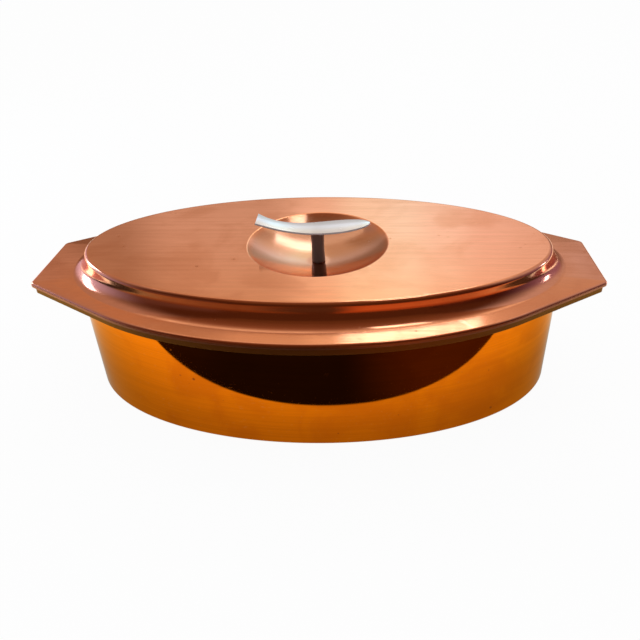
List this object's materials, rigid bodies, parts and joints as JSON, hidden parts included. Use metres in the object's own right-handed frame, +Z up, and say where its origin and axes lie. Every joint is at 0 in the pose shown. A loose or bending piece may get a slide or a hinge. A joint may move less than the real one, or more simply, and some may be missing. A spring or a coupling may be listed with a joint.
{
  "type": "lidded oval serving dish",
  "caption": "Deep oval copper pan with flat ears and a matching pressed lid, lined with steel, whose sunk well carries a fish-shaped grip on a post.",
  "frame": {"origin": "middle of the pan's flat underside", "axes": "+X along the dish from ear to ear, towards the nose of the fish grip; +Y away from the front; +Z up"},
  "size_m": [0.3922, 0.2062, 0.124],
  "materials": {
    "polished_copper": "polished copper, lightly worn",
    "brushed_copper": "copper brushed along the dish",
    "satin_steel": "satin stainless lining",
    "brushed_steel": "brushed stainless",
    "polished_steel": "polished stainless",
    "plated_steel": "bright plated steel"
  },
  "bodies": {
    "pan": {"pan_shell": "polished_copper", "pan_lining": "satin_steel"},
    "lid": {"lid_shell": "brushed_copper", "lid_lining": "satin_steel", "knob_post": "polished_steel", "fish_grip": "brushed_steel", "lid_washer": "plated_steel", "spring_washer": "plated_steel", "lid_screw": "plated_steel"}
  },
  "joints": [
    {"name": "lid_lift", "type": "slide", "parent": "pan", "child": "lid", "axis": [0, 0, 1], "range_m": [0, 0.12]}
  ]
}
